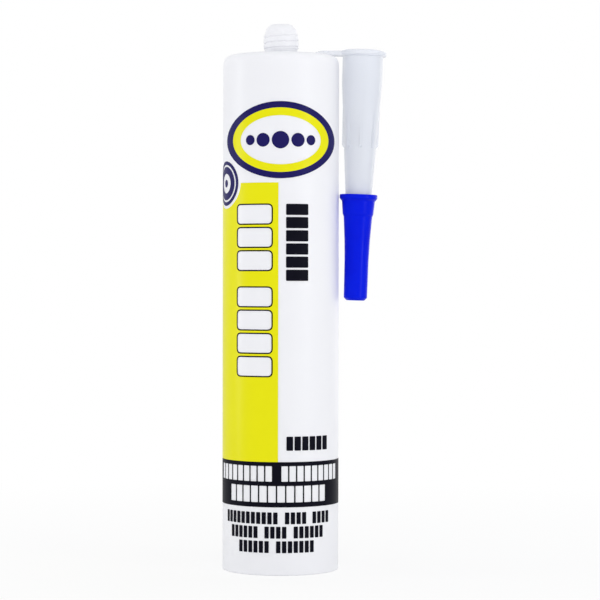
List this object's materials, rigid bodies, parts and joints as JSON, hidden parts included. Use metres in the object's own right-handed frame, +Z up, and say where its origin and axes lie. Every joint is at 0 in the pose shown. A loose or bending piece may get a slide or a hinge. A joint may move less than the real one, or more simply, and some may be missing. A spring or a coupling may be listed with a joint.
{
  "type": "caulk tube",
  "caption": "Upright sealant cartridge with a closed threaded neck, a plunger inside, and a capped nozzle hung beside it from a ring on the neck.",
  "frame": {"origin": "on the tube's axis, in the plane of its rear rim", "axes": "+Z up the tube's axis towards the neck, -Y towards the printed front, +X towards the hung nozzle"},
  "size_m": [0.0691, 0.0492, 0.23],
  "materials": {
    "white_plastic": "satin white polyethylene",
    "plunger_plastic": "natural polyethylene",
    "paste": "soft white paste",
    "clear_plastic": "milky translucent polyethylene",
    "blue_plastic": "glossy",
    "yellow_ink": "printed ink",
    "navy_ink": "printed ink",
    "black_ink": "printed ink"
  },
  "bodies": {
    "tube": {"cartridge": "white_plastic", "sealant": "paste", "yellow_print": "yellow_ink", "navy_print": "navy_ink", "black_print": "black_ink"},
    "plunger": {"plunger": "plunger_plastic"},
    "nozzle": {"nozzle": "clear_plastic"},
    "cap": {"nozzle_cap": "blue_plastic"}
  },
  "joints": [
    {"name": "plunger_slide", "type": "slide", "parent": "tube", "child": "plunger", "axis": [0, 0, 1], "range_m": [0, 0.18], "deforming": ["sealant"]},
    {"name": "nozzle_swivel", "type": "hinge", "parent": "tube", "child": "nozzle", "pos_m": [0, 0, 0.21745], "axis": [0, 0, 1], "continuous": true},
    {"name": "cap_pull", "type": "slide", "parent": "nozzle", "child": "cap", "axis": [0, 0, -1], "range_m": [0, 0.045]}
  ]
}
